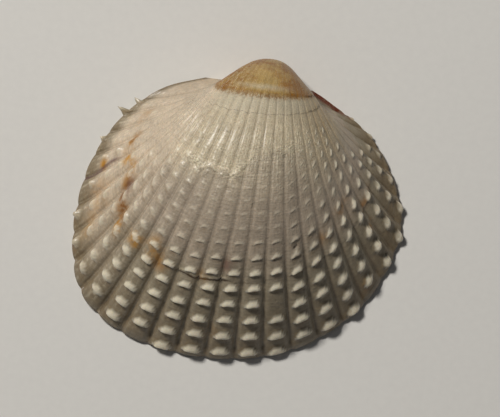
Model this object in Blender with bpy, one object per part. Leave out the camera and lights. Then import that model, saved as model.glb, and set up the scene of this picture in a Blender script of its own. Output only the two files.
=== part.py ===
"""One valve of a small papillose cockle, lying on its rim with the dome up.

The valve is a grown form. Its margin keeps one outline all its life, and the outline shrinks by
a constant rate as it is followed back about the hinge line to the beak, on a logarithmic spiral.
Ribs run along the spiral, and each rib carries a row of papillae, one for each spell of growth.

Frame: the hinge line lies along X with the front of the shell to +X, the ventral margin is
towards -Y, the beak overhangs the hinge towards +Y, and the rim rests on the plane Z = 0.
Sizes are in millimetres until the finished mesh is scaled to metres.
"""

import math
import random

import bmesh
import bpy
from mathutils import Matrix, Vector

MM = 0.001

# Margin of the valve, seen square on, from the rear end of the hinge line to its front end.
# The origin is the point on the hinge line that the spiral winds about.
MARGIN = (
    (-2.76, 0.00),
    (-4.70, -0.75),
    (-6.43, -2.39),
    (-7.58, -4.81),
    (-7.86, -7.95),
    (-7.01, -10.59),
    (-4.49, -12.15),
    (-0.79, -12.58),
    (2.77, -11.71),
    (5.57, -9.38),
    (6.84, -6.24),
    (6.38, -3.81),
    (4.95, -1.72),
    (3.00, -0.45),
    (2.11, 0.00),
)
MARGIN_STEPS = 24
RIM_EDGE = 0.25
RIM_ROUNDING = 0.10

# Growth: how fast the outline shrinks for each radian turned back, and where the beak ends
SHRINK_RATE = 0.83
BEAK_TURN = math.radians(168.0)
BEAK_NARROWING = 0.07
NARROWS_FROM = 1.3
NARROWS_TO = 2.1
BEAK_DRIFT = 0.50
BEAK_DRIFT_POWER = 4
CLOSE_BY = 0.002

# Ribs, in shares of the margin's length
RIB_COUNT = 27
RIBS_FROM = 0.075
RIBS_TO = 0.953
REAR_NARROWING = 0.17
REAR_NARROW_RIBS = 7
FRONT_NARROWING = 0.22
FRONT_NARROW_RIBS = 5
RIB_SHOULDER = 0.37
FURROW_DEPTH = 0.13
REAR_FURROW = 0.35
REAR_FURROW_RIBS = 9
DISK_SHALLOWNESS = 0.55
DISK_WEARS_FROM = 0.35
DISK_WEARS_TO = 0.60
DISK_FROM_RIB = 6
DISK_FULL_RIB = 9
BARE_STRIPS = 2
CROWDING = 0.07
CROWDING_CENTRE = 0.59
CROWDING_REACH = 0.20
HELD_ENDS_POWER = 6

# Papillae: the turn of the first one on each rib, and how many the ribs of both flanks carry
FIRST_PAPILLA = (
    0.048, 0.012, 0.030, 0.130, 0.090, 0.030, 0.032, 0.053, 0.069,
    0.040, 0.074, 0.016, 0.029, 0.032, 0.026, 0.012, 0.051, 0.032,
    0.019, 0.066, 0.032, 0.014, 0.018, 0.055, 0.079, 0.020, 0.040,
)
REAR_COUNTS = (1, 1, 1, 2, 4, 7, 8)
FRONT_COUNTS = (1, 1, 2, 4, 6, 8)
BARE_RIB = 15
BARE_RIB_ROWS = (3,)

# Papillae: sizes in millimetres, and shares of a rib's width and of the spacing
PAPILLA_SPACING = 1.10
WIDEST_PITCH = 0.113
PAPILLA_ROWS = 13
BEAK_ROWS = 8
KEPT_EDGE = 0.004
INSET_SHARE = 0.1
PAPILLA_HEIGHT = 0.21
PAPILLA_HALF_WIDTH = 0.31
PAPILLA_HALF_LENGTH = 0.17
PAPILLA_BEHIND = 0.08
PAPILLA_LEAN = 0.13
LOWEST_PAPILLA = 0.03
UNEVEN_ACROSS = 0.04
UNEVEN_ALONG = 0.05
UNEVEN_HEIGHT = 0.18
PLATEAU_GROW = 0.72
PLATEAU_HEIGHT = 0.72
REAR_SLIMNESS = 0.40
REAR_SLIM_RIBS = 10
FRONT_SLIMNESS = 0.35
FRONT_SLIM_RIBS = 9
SPINE_HEIGHT = 0.40
SPINE_RIBS = 7
WORN_FROM = 0.78
WORN_TO = 0.62
MOST_WORN = 0.85
FLANK_SHELTER = 0.80
SMOOTH_SIZE = 0.40

# Inside of the valve
WALL = 0.80
WALL_THINNING = 0.25
CAVITY_CENTRE = (-0.40, -6.20)
CAVITY_TURNS = (0.0, 0.07, 0.16, 0.28, 0.42, 0.60, 0.80, 1.05, 1.35, 1.70)
CAVITY_END_TURN = 2.02
HINGE_STEPS = 9
SEAM_GAP = 0.0001
CRENULATION = 0.13
CRENULATION_TURN = 0.30

# Sockets in the hinge plate: centre x and y, half length, half width, depth, turn in degrees
SOCKETS = (
    (-0.62, -0.44, 0.36, 0.20, 0.34, 62.0),
    (0.50, -0.40, 0.34, 0.20, 0.34, -58.0),
    (-3.48, -0.69, 0.80, 0.13, 0.16, 24.0),
    (3.02, -0.95, 0.72, 0.13, 0.16, -38.0),
)
SOCKET_SIDES = 12

# Look of the shell
SHELL_COLOUR = (0.62, 0.55, 0.46, 1.0)
SHELL_ROUGHNESS = 0.38
SHARP_ANGLE = math.radians(50.0)


def clear_scene():
    """Remove the objects that a new file starts with."""
    for thing in list(bpy.data.objects):
        bpy.data.objects.remove(thing, do_unlink=True)


def smooth_margin():
    """Return the margin as a fine polyline, a smooth curve through the margin's points."""
    fine = []
    last = len(MARGIN) - 1
    for i in range(last):
        before = Vector(MARGIN[max(i - 1, 0)])
        start = Vector(MARGIN[i])
        end = Vector(MARGIN[i + 1])
        after = Vector(MARGIN[min(i + 2, last)])
        for step in range(MARGIN_STEPS):
            t = step / MARGIN_STEPS
            bend = (end - before) * t + (2 * before - 5 * start + 4 * end - after) * t * t
            twist = (3 * start - before - 3 * end + after) * t * t * t
            point = start + 0.5 * (bend + twist)
            fine.append(Vector((point.x, min(point.y, 0.0))))
    fine.append(Vector(MARGIN[last]))
    return fine


FINE_MARGIN = smooth_margin()


def margin_lengths():
    """Return the share of the margin's length that is reached at each fine point."""
    lengths = [0.0]
    for here, there in zip(FINE_MARGIN, FINE_MARGIN[1:]):
        lengths.append(lengths[-1] + (there - here).length)
    return [length / lengths[-1] for length in lengths]


FINE_SHARES = margin_lengths()


def margin_point(share):
    """Return the point of the margin at this share of its length."""
    share = min(max(share, 0.0), 1.0)
    low = 0
    high = len(FINE_SHARES) - 1
    while high - low > 1:
        middle = (low + high) // 2
        if FINE_SHARES[middle] <= share:
            low = middle
        else:
            high = middle
    part = (share - FINE_SHARES[low]) / (FINE_SHARES[high] - FINE_SHARES[low])
    return FINE_MARGIN[low].lerp(FINE_MARGIN[high], part)


def smooth(value, low, high):
    """Return a soft step from 0 at low to 1 at high."""
    part = min(max((value - low) / (high - low), 0.0), 1.0)
    return part * part * (3.0 - 2.0 * part)


def size_at(turn):
    """Return the size of the young shell at this turn, as a share of the grown one."""
    narrowing = BEAK_NARROWING * smooth(turn, NARROWS_FROM, NARROWS_TO)
    return math.exp(-SHRINK_RATE * turn) * (1.0 - narrowing)


def drift(size):
    """Return how far the young shell of this size lay towards the front: the beak turns that way."""
    return BEAK_DRIFT * (1.0 - size) ** BEAK_DRIFT_POWER


def turned(point, turn):
    """Return a point of the grown margin's plane, shrunk and turned back about the hinge."""
    size = size_at(turn)
    y = point.y * size
    return Vector((point.x * size + drift(size), y * math.cos(turn), -y * math.sin(turn)))


def rib_line(share, turn):
    """Return the share of the margin that a line reaching this share has at an earlier turn.

    The ribs of both flanks lay closer to the middle of the shell when it was young.
    """
    aside = math.tanh((share - CROWDING_CENTRE) / CROWDING_REACH)
    youth = (1.0 - size_at(turn)) ** 2
    hold_ends = 1.0 - abs(2.0 * share - 1.0) ** HELD_ENDS_POWER
    return share - CROWDING * aside * youth * hold_ends


def surface_point(share, turn):
    """Return the point of the smooth outer surface on a rib line."""
    point = turned(margin_point(rib_line(share, turn)), turn)
    point.z += RIM_EDGE
    return point


def surface_normal(share, turn):
    """Return the outward direction of the smooth outer surface, from points close by."""
    low = max(share - CLOSE_BY, 0.0)
    high = min(share + CLOSE_BY, 1.0)
    across = surface_point(high, turn) - surface_point(low, turn)
    early = surface_point(share, turn + CLOSE_BY)
    late = surface_point(share, max(turn - CLOSE_BY, 0.0))
    return across.cross(early - late).normalized()


def raised_point(share, turn, height):
    """Return a point at this height over the smooth outer surface."""
    return surface_point(share, turn) + surface_normal(share, turn) * height


def rib_widths():
    """Return the width of each rib at the margin, as shares of the margin's length."""
    widths = []
    for rib in range(RIB_COUNT):
        rear = max(0.0, 1.0 - rib / REAR_NARROW_RIBS)
        front = max(0.0, 1.0 - (RIB_COUNT - 1 - rib) / FRONT_NARROW_RIBS)
        widths.append(1.0 - REAR_NARROWING * rear - FRONT_NARROWING * front)
    scale = (RIBS_TO - RIBS_FROM) / sum(widths)
    return [width * scale for width in widths]


def furrow_shares():
    """Return the shares of the margin at which the furrows end, one more than the ribs."""
    shares = [RIBS_FROM]
    for width in rib_widths():
        shares.append(shares[-1] + width)
    return shares


FURROWS = furrow_shares()


def rib_middle(rib):
    """Return the share of the margin at the middle of a rib."""
    return 0.5 * (FURROWS[rib] + FURROWS[rib + 1])


def furrow_depth(furrow, turn):
    """Return the depth of a furrow, which is low on the rear flank and on the worn disk."""
    rear = REAR_FURROW + (1.0 - REAR_FURROW) * smooth(furrow, 0, REAR_FURROW_RIBS)
    on_disk = smooth(turn, DISK_WEARS_FROM, DISK_WEARS_TO) * smooth(furrow, DISK_FROM_RIB, DISK_FULL_RIB)
    return FURROW_DEPTH * size_at(turn) * rear * (1.0 - DISK_SHALLOWNESS * on_disk)


def column_shares():
    """Return the grid's columns: bare strips, and a furrow and two shoulders for each rib."""
    columns = [RIBS_FROM * step / BARE_STRIPS for step in range(BARE_STRIPS)]
    for start, end in zip(FURROWS, FURROWS[1:]):
        middle = 0.5 * (start + end)
        reach = RIB_SHOULDER * (end - start)
        columns += [start, middle - reach, middle + reach]
    rest = 1.0 - RIBS_TO
    columns += [RIBS_TO + rest * step / BARE_STRIPS for step in range(BARE_STRIPS + 1)]
    return columns


def is_furrow(column):
    """Return whether this column of the grid runs along a furrow."""
    ribbed = column - BARE_STRIPS
    return 0 <= ribbed <= 3 * RIB_COUNT and ribbed % 3 == 0


def furrow_number(column):
    """Return the number of the furrow at this column, counted from the rear."""
    return (column - BARE_STRIPS) // 3


def papilla_pitch(share):
    """Return the turn between two papillae on the rib that reaches this share of the margin."""
    point = margin_point(share)
    speed = math.hypot(SHRINK_RATE * point.x, SHRINK_RATE * point.y, point.y)
    return min(PAPILLA_SPACING / speed, WIDEST_PITCH)


def first_papilla(share):
    """Return the turn of the first papilla, even over each crest and blended over the furrows."""
    before = FIRST_PAPILLA[0]
    for rib, first in enumerate(FIRST_PAPILLA):
        start = FURROWS[rib]
        if share <= start:
            return 0.5 * (before + first)
        if share < FURROWS[rib + 1]:
            return first
        before = first
    return before


def row_turn(share, row):
    """Return the turn of a grid row: one row for each papilla, then longer steps to the beak."""
    if row == 0:
        return 0.0
    pitch = papilla_pitch(share)
    if row <= PAPILLA_ROWS:
        return first_papilla(share) + (row - 0.5) * pitch
    start = first_papilla(share) + (PAPILLA_ROWS - 0.5) * pitch
    return start + (BEAK_TURN - start) * (row - PAPILLA_ROWS) / BEAK_ROWS


def wave(rib, row, salt):
    """Return a repeatable uneven number from -1 to 1 for one papilla."""
    return random.Random(rib + RIB_COUNT * (row + PAPILLA_ROWS * salt)).uniform(-1.0, 1.0)


def has_papilla(rib, row):
    """Return whether this place of a rib carries a papilla."""
    if rib < len(REAR_COUNTS) and row >= REAR_COUNTS[rib]:
        return False
    from_front = RIB_COUNT - 1 - rib
    if from_front < len(FRONT_COUNTS) and row >= FRONT_COUNTS[from_front]:
        return False
    return not (rib == BARE_RIB and row in BARE_RIB_ROWS)


def papilla_height(rib, row):
    """Return the height of one papilla, lower where the dome is worn."""
    size = size_at(FIRST_PAPILLA[rib] + row * papilla_pitch(rib_middle(rib)))
    if size < SMOOTH_SIZE or not has_papilla(rib, row):
        return 0.0
    flank = min(1.0, abs(rib - 0.5 * RIB_COUNT) / (0.5 * RIB_COUNT))
    wear = min(max((WORN_FROM - size) / (WORN_FROM - WORN_TO), 0.0), 1.0)
    wear *= MOST_WORN * (1.0 - FLANK_SHELTER * flank)
    full = SPINE_HEIGHT if row == 0 and rib < SPINE_RIBS else PAPILLA_HEIGHT
    return full * size * (1.0 - wear) * (1.0 + UNEVEN_HEIGHT * wave(rib, row, 1))


def add_grid(mesh, wide, deep):
    """Add a grid and return its vertices, row by row."""
    grid = bmesh.ops.create_grid(mesh, x_segments=wide - 1, y_segments=deep - 1, size=1.0)
    ordered = sorted(grid["verts"], key=lambda vert: (round(vert.co.y, 5), round(vert.co.x, 5)))
    return [ordered[start:start + wide] for start in range(0, len(ordered), wide)]


def grow_outer_surface(mesh):
    """Make the ribbed outer surface and return its grid of vertices, row by row."""
    columns = column_shares()
    rows = add_grid(mesh, len(columns), PAPILLA_ROWS + BEAK_ROWS + 1)
    for number, row in enumerate(rows):
        for column, vert in enumerate(row):
            turn = row_turn(columns[column], number)
            depth = furrow_depth(furrow_number(column), turn) if is_furrow(column) else 0.0
            vert.co = raised_point(columns[column], turn, -depth)
    return rows


def draw_together(mesh, verts):
    """Draw a row of vertices together in one point."""
    middle = sum((vert.co for vert in verts), Vector()) / len(verts)
    bmesh.ops.pointmerge(mesh, verts=verts, merge_co=middle)


def papilla_point(rib, row, across, along, height):
    """Return a point over a papilla's cell.

    The place is given in rib widths and papilla spacings from the papilla's middle, which lies
    a little off the regular place and behind the steep front.
    """
    across += UNEVEN_ACROSS * wave(rib, row, 2)
    along += UNEVEN_ALONG * wave(rib, row, 3)
    share = rib_middle(rib) + across * (FURROWS[rib + 1] - FURROWS[rib])
    turn = FIRST_PAPILLA[rib] + (row + PAPILLA_BEHIND + along) * papilla_pitch(share)
    return raised_point(share, max(turn, KEPT_EDGE), height)


def slimness(rib):
    """Return how much slimmer the papillae of both flanks are, as a factor."""
    rear = REAR_SLIMNESS * max(0.0, 1.0 - rib / REAR_SLIM_RIBS)
    front = FRONT_SLIMNESS * max(0.0, 1.0 - (RIB_COUNT - 1 - rib) / FRONT_SLIM_RIBS)
    return 1.0 - rear - front


def place_ring(face, rib, row, grow, height, lean):
    """Move the corners of a face to a papilla's outline at this height over the shell."""
    across = PAPILLA_HALF_WIDTH * grow * slimness(rib)
    along = PAPILLA_HALF_LENGTH * grow * slimness(rib)
    spots = [papilla_point(rib, row, a * across, b * along - lean, height)
             for a, b in ((-1, -1), (1, -1), (1, 1), (-1, 1))]
    corners = list(face.verts)
    turns = [spots[i:] + spots[:i] for i in range(4)]
    turns += [turn[::-1] for turn in turns]
    closest = min(turns, key=lambda turn: sum((v.co - p).length for v, p in zip(corners, turn)))
    for vert, spot in zip(corners, closest):
        vert.co = spot


def inset_face(mesh, face):
    """Inset one face a little and return it."""
    reach = INSET_SHARE * min(edge.calc_length() for edge in face.edges)
    bmesh.ops.inset_individual(mesh, faces=[face], thickness=reach, depth=0.0)
    return face


def raise_papilla(mesh, face, rib, row):
    """Raise one papilla out of a cell of a rib's crest."""
    height = papilla_height(rib, row)
    if height < LOWEST_PAPILLA:
        return
    face = inset_face(mesh, face)
    place_ring(face, rib, row, 1.0, 0.0, 0.0)
    face = inset_face(mesh, face)
    place_ring(face, rib, row, PLATEAU_GROW, PLATEAU_HEIGHT * height, 0.5 * PAPILLA_LEAN)
    poked = bmesh.ops.poke(mesh, faces=[face])
    poked["verts"][0].co = papilla_point(rib, row, 0.0, -PAPILLA_LEAN, height)


def crest_cells(rows):
    """Return the face of each rib's crest for each papilla as a dictionary."""
    cells = {}
    for row in range(PAPILLA_ROWS):
        for rib in range(RIB_COUNT):
            column = BARE_STRIPS + 3 * rib + 1
            corner = rows[row][column]
            opposite = rows[row + 1][column + 1]
            shared = [face for face in corner.link_faces if opposite in face.verts]
            cells[rib, row] = shared[0]
    return cells


def raise_papillae(mesh, rows):
    """Raise every papilla."""
    for (rib, row), face in crest_cells(rows).items():
        raise_papilla(mesh, face, rib, row)


def lay_rim(mesh):
    """Carry the open edge of the outer surface down to the resting plane, slightly inward."""
    edges = [edge for edge in mesh.edges if edge.is_boundary]
    result = bmesh.ops.extrude_edge_only(mesh, edges=edges)
    verts = [item for item in result["geom"] if isinstance(item, bmesh.types.BMVert)]
    centre = Vector((CAVITY_CENTRE[0], CAVITY_CENTRE[1], 0.0))
    for vert in verts:
        foot = Vector((vert.co.x, min(vert.co.y, 0.0), 0.0))
        vert.co = foot + (centre - foot).normalized() * RIM_ROUNDING


def inner_outline():
    """Return the closed loop that the inside follows: the margin, then the hinge line.

    Each entry is a point of the grown margin's plane and the sign of its crenulation.
    """
    loop = []
    for start, end in zip(FURROWS, FURROWS[1:]):
        loop.append((start, 1.0))
        loop.append((0.5 * (start + end), -1.0))
    loop.append((RIBS_TO, 1.0))
    points = [(margin_point(0.5 * RIBS_FROM), 0.0)]
    points += [(margin_point(share), sign) for share, sign in loop]
    points.append((margin_point(0.5 * (1.0 + RIBS_TO)), 0.0))
    front = Vector(MARGIN[-1])
    rear = Vector(MARGIN[0])
    for step in range(HINGE_STEPS):
        points.append((front.lerp(rear, step / (HINGE_STEPS - 1)), 0.0))
    return points


def inside_point(point, sign, turn):
    """Return the point of the inside wall that lies behind a point of the outline."""
    centre = Vector(CAVITY_CENTRE)
    size = size_at(turn)
    fade = max(0.0, 1.0 - turn / CRENULATION_TURN)
    wall = WALL * (1.0 - WALL_THINNING * (1.0 - size)) + CRENULATION * sign * fade
    outward = point - centre
    kept = outward.length * size - wall
    flat = centre * size + outward.normalized() * kept
    return Vector((flat.x + drift(size), flat.y * math.cos(turn), -flat.y * math.sin(turn)))


def hollow_inside(mesh):
    """Make the smooth inside wall, open at its mouth and closed under the umbo."""
    outline = inner_outline()
    outline.append(outline[0])
    rows = add_grid(mesh, len(outline), len(CAVITY_TURNS) + 1)
    for row, turn in zip(rows, CAVITY_TURNS):
        for vert, (point, sign) in zip(row, outline):
            vert.co = inside_point(point, sign, turn)
    deepest = turned(Vector(CAVITY_CENTRE), CAVITY_END_TURN)
    for vert in rows[-1]:
        vert.co = deepest
    draw_together(mesh, rows[-1])
    seam = [row[end] for row in rows[:-1] for end in (0, -1)]
    bmesh.ops.remove_doubles(mesh, verts=seam, dist=SEAM_GAP)


def fill_rim(mesh):
    """Close the flat rim between the foot of the outer surface and the mouth of the hollow."""
    edges = [edge for edge in mesh.edges if edge.is_boundary]
    bmesh.ops.triangle_fill(mesh, use_beauty=True, use_dissolve=False, edges=edges,
                            normal=(0.0, 0.0, -1.0))


def centre_on_footprint(mesh):
    """Put the centre of the valve's footprint at the origin."""
    xs = [vert.co.x for vert in mesh.verts]
    ys = [vert.co.y for vert in mesh.verts]
    middle = Vector((0.5 * (min(xs) + max(xs)), 0.5 * (min(ys) + max(ys)), 0.0))
    bmesh.ops.translate(mesh, vec=-middle, verts=mesh.verts)
    return middle


def add_object(name, mesh):
    """Finish a mesh in metres, with its faces outward, and return it as an object."""
    bmesh.ops.recalc_face_normals(mesh, faces=mesh.faces)
    bmesh.ops.scale(mesh, vec=(MM, MM, MM), verts=mesh.verts)
    data = bpy.data.meshes.new(name)
    mesh.to_mesh(data)
    mesh.free()
    thing = bpy.data.objects.new(name, data)
    bpy.context.scene.collection.objects.link(thing)
    return thing


def shell_material():
    """Return the cream material of the valve."""
    material = bpy.data.materials.new("shell")
    material.use_nodes = True
    surface = material.node_tree.nodes["Principled BSDF"]
    surface.inputs["Base Color"].default_value = SHELL_COLOUR
    surface.inputs["Roughness"].default_value = SHELL_ROUGHNESS
    surface.inputs["Metallic"].default_value = 0.0
    return material


def make_valve():
    """Make the valve and return it with the offset that centred it."""
    mesh = bmesh.new()
    rows = grow_outer_surface(mesh)
    draw_together(mesh, rows.pop())
    raise_papillae(mesh, rows)
    lay_rim(mesh)
    hollow_inside(mesh)
    fill_rim(mesh)
    middle = centre_on_footprint(mesh)
    valve = add_object("valve", mesh)
    valve.data.materials.append(shell_material())
    valve.data.shade_smooth()
    valve.data.set_sharp_from_angle(angle=SHARP_ANGLE)
    return valve, middle


def make_sockets(middle):
    """Make the cutter for the sockets between the hinge's teeth."""
    mesh = bmesh.new()
    for x, y, long, wide, deep, turn in SOCKETS:
        place = (
            Matrix.Translation(Vector((x, y, 0.0)) - middle)
            @ Matrix.Rotation(math.radians(turn), 4, "Z")
            @ Matrix.Diagonal((long, wide, deep, 1.0))
        )
        bmesh.ops.create_uvsphere(mesh, u_segments=SOCKET_SIDES, v_segments=SOCKET_SIDES // 2,
                                  radius=1.0, matrix=place)
    cutter = add_object("hinge_sockets", mesh)
    cutter.hide_render = True
    cutter.display_type = "WIRE"
    return cutter


def main():
    """Make the valve and sink the sockets in its hinge plate."""
    clear_scene()
    valve, middle = make_valve()
    sink = valve.modifiers.new("sockets", "BOOLEAN")
    sink.operation = "DIFFERENCE"
    sink.solver = "EXACT"
    sink.object = make_sockets(middle)


main()
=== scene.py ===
"""A valve of a small papillose cockle, dome up on its rim on a pale studio floor.

The valve grows here as its solid does: one margin outline, shrunk and turned back about the hinge
line on a logarithmic spiral. This mesh adds what the solid leaves out: round rib crests, hooded
papillae, steps where growth stopped, fine growth lines, and a hinge plate with teeth.

Lengths are in millimetres until a finished mesh is scaled to metres. A turn is an angle in
radians about the hinge line, from the margin back to the beak. A share is a place along the
margin, from 0 at the rear end of the hinge line to 1 at its front end.
"""

import math
import random

import bmesh
import bpy
import numpy as np
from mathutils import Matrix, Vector
from mathutils.kdtree import KDTree


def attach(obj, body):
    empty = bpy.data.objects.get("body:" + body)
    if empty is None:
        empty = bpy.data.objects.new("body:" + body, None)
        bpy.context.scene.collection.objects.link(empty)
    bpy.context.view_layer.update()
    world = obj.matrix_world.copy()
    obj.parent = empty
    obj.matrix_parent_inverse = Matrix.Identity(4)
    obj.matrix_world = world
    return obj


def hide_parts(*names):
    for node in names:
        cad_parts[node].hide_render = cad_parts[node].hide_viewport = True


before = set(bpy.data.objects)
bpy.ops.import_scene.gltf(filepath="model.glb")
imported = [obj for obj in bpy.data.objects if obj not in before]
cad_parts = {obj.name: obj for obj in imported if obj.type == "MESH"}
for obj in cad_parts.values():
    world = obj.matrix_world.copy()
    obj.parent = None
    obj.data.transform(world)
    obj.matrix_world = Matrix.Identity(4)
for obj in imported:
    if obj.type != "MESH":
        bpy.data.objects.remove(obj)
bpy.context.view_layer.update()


def tone(red, green, blue):
    """Return a colour from its eight-bit screen values."""
    parts = [value / 255.0 for value in (red, green, blue)]
    linear = [v / 12.92 if v <= 0.04045 else ((v + 0.055) / 1.055) ** 2.4 for v in parts]
    return (*linear, 1.0)


MM = 0.001
VALUE_NAMES = ("growth", "relief", "stain")

# Margin, seen square on, from the rear end of the hinge line; the origin is the spiral's centre
MARGIN = (
    (-2.76, 0.00),
    (-4.70, -0.75),
    (-6.43, -2.39),
    (-7.58, -4.81),
    (-7.86, -7.95),
    (-7.01, -10.59),
    (-4.49, -12.15),
    (-0.79, -12.58),
    (2.77, -11.71),
    (5.57, -9.38),
    (6.84, -6.24),
    (6.38, -3.81),
    (4.95, -1.72),
    (3.00, -0.45),
    (2.11, 0.00),
)
MARGIN_STEPS = 24
SPIRAL_CENTRE = np.array((0.5599, 5.7081, 0.0))
RIM_EDGE = 0.25
RIM_STEPS = ((0.00, 0.14), (0.03, 0.05), (0.10, 0.00))
RIM_LIFT = 0.05

# Camera: the point of the shell below it, and the width that the photograph takes in
LOOK_AT = np.array((-0.038, -5.642, 0.0))
PHOTO_WIDTH = 22.65
CAMERA_LENS = 600.0
CAMERA_SENSOR = 36.0
CAMERA_ROLL = math.radians(7.0)

# Light and floor: the key light's distance and width are in metres, its power in watts
KEY_DIRECTION = (-0.42, 0.42, 0.80)
KEY_DISTANCE = 0.25
KEY_WIDTH = 0.045
KEY_POWER = 0.455
KEY_COLOUR = (1.0, 0.97, 0.92)
SKY_COLOUR = (0.060, 0.062, 0.066, 1.0)
FLOOR_REACH = 400.0

# Colours of the shell, as screen values
MARGIN_TONE = tone(140, 124, 98)
LOWER_TONE = tone(158, 146, 124)
MIDDLE_TONE = tone(178, 163, 144)
UPPER_TONE = tone(208, 193, 164)
BAND_TONE = tone(204, 192, 166)
REAR_TONE = tone(212, 194, 170)
FRONT_TONE = tone(232, 218, 196)
UMBO_TONE = tone(180, 148, 84)
ORANGE_TONE = tone(148, 98, 4)
CAP_TONE = tone(248, 238, 214)
# Pale crest colour: partly fine threads, partly painted highlight on the crests; also used for the pale
# ledge at the second stop
CREST_TONE = tone(250, 238, 210)
# Furrow colour: partly the furrows' own mauve-grey, partly painted shade
FURROW_TONE_AND_SHADE = tone(104, 82, 62)
STOP_TONE = tone(84, 62, 40)
BAND_EDGE_TONE = tone(136, 90, 22)
# Dark line of the crack: painted shade in the crack
CRACK_SHADE_TONE = tone(52, 34, 16)
LIP_TONE = tone(236, 220, 186)
# Brown below each papilla: partly stain, partly painted shade
LEE_STAIN_AND_SHADE_TONE = tone(128, 98, 60)
GOLDEN_TONE = tone(204, 148, 54)
BROWN_TONE = tone(118, 70, 38)
PURPLE_TONE = tone(100, 68, 76)
RUST_TONE = tone(104, 44, 14)
INSIDE_TONE = tone(236, 226, 208)
INSIDE_DEEP_TONE = tone(214, 180, 146)
INSIDE_STRIPE_TONE = tone(190, 170, 148)
FLOOR_TONE = tone(226, 224, 220)
FLOOR_LIGHT_TONE = tone(240, 238, 233)

# Growth
SHRINK_RATE = 0.83
BEAK_TURN = math.radians(168.0)
BEAK_NARROWING = 0.07
NARROWS_FROM = 1.3
NARROWS_TO = 2.1
BEAK_DRIFT = 0.50
CLOSE_BY = 0.004

# Ribs
RIB_COUNT = 27
RIBS_FROM = 0.075
RIBS_TO = 0.953
REAR_NARROWING = 0.17
REAR_NARROW_RIBS = 7
FRONT_NARROWING = 0.22
FRONT_NARROW_RIBS = 5
CROWDING = 0.07
CROWDING_CENTRE = 0.59
CROWDING_REACH = 0.20
RIB_PLACES = (-0.5, -0.43, -0.365, -0.30, -0.22, -0.13, -0.045, 0.045, 0.13, 0.22, 0.30, 0.365, 0.43)
BARE_STRIPS = 8
FURROW_DEPTH = 0.12
FURROW_FROM = 0.32
EDGE_FURROW = 0.40
EDGE_FURROW_TURN = 0.05
REAR_FURROW = 0.35
REAR_FURROW_RIBS = 9
CROWN = 0.055
ROUND_RIB = 7
ROUND_REACH = 5
ROUND_CROWN = 0.16
DISK_SHALLOWNESS = 0.55
UMBO_SIZE = 0.303
UMBO_BLEND = 0.05
UMBO_FURROW = 0.06

# Papillae: the turn of the first one on each rib, how many the flank ribs carry, and their shape
FIRST_PAPILLA = (
    0.048, 0.012, 0.030, 0.130, 0.090, 0.030, 0.032, 0.053, 0.069,
    0.040, 0.074, 0.016, 0.029, 0.032, 0.026, 0.012, 0.051, 0.032,
    0.019, 0.066, 0.032, 0.014, 0.018, 0.055, 0.079, 0.020, 0.040,
)
REAR_COUNTS = (1, 1, 1, 2, 4, 7, 8)
FRONT_COUNTS = (1, 1, 2, 4, 6, 8)
PAPILLA_SPACING = 1.10
WIDEST_PITCH = 0.113
PAPILLA_ROWS = 14
SEEDED_ROWS = 13
ROW_PLACES = (0.0, 0.18, 0.32, 0.41, 0.44, 0.47, 0.50, 0.60, 0.72, 0.86)
FLAT_FROM_MIDDLE = 0.36
BEAK_ROWS = 84
BEAK_EASE = 1.2
CREST = 0.50
PAPILLA_HEIGHT = 0.18
PAPILLA_HALF_WIDTH = 0.31
PAPILLA_BACK = 0.34
PAPILLA_FRONT = 0.09
PAPILLA_LEAN = 0.03
CREST_BOW = 0.08
REAR_KNOBS_FROM = 10
REAR_KNOBS_FULL = 5
REAR_SLIMNESS = 0.40
REAR_SLIM_RIBS = 10
FRONT_SLIMNESS = 0.35
FRONT_SLIM_RIBS = 9
CONE_RIBS = 3
CONE_REACH = 0.26
KNOB_ACROSS = 0.27
KNOB_ALONG = 0.31
SPINE_HEIGHT = 0.40
SPINE_RIBS = 7
KNOB_EXTRA = 0.45
DORSAL_KNOBS_FROM = 20
DORSAL_KNOBS_FULL = 25
DORSAL_LOWNESS = 0.55
FRONT_KNOBS_FROM = 15
FRONT_KNOBS_FULL = 21
UNEVEN_ACROSS = 0.04
UNEVEN_ALONG = 0.05
UNEVEN_HEIGHT = 0.18
UNEVEN_SKEW = 0.05
WORN_FROM = 0.78
WORN_TO = 0.62
MOST_WORN = 0.85
FLANK_SHELTER = 0.80
SMOOTH_SIZE = 0.40
WORN_PALENESS = 0.5
BARE_RIB = 15
BARE_RIB_ROWS = (3,)
# Patch below each papilla, whose brown is partly stain and partly painted shade
LEE_PLACE = 0.27
LEE_ALONG = 0.13
LEE_ACROSS = 0.30
LEE_LOWEST = 0.04
MIDDLE_RIB = RIB_COUNT // 2
FLANK_SKEW = 0.02

# Stops in growth: their turns, the waves along them, and the steps that they left
FIRST_STOP = 0.321
SECOND_STOP = 0.816
SECOND_STOP_CLIMB = 0.14
CLIMB_FROM = 0.47
CLIMB_TO = 0.53
THIRD_STOP = 1.251
FOURTH_STOP = 1.438
STOP_ARCH = 0.012
SLOW_WAVE = (83.0, 4.0, 0.004)
QUICK_WAVE = (190.0, 1.0, 0.003)
STOP_LINES = ((FIRST_STOP, 0.006, 0.40), (THIRD_STOP - 0.003, 0.006, 0.60))
STEP_HEIGHT = 0.022
THIRD_STEP_HEIGHT = 0.015

# Crack along the first stop: the shares where it begins and ends, and its half width as a turn
CRACK_FROM = (0.42, 0.435)
CRACK_TO = (0.50, 0.515)
CRACK_DEPTH = 0.03
CRACK_HALF_WIDTH = 0.007

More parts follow.
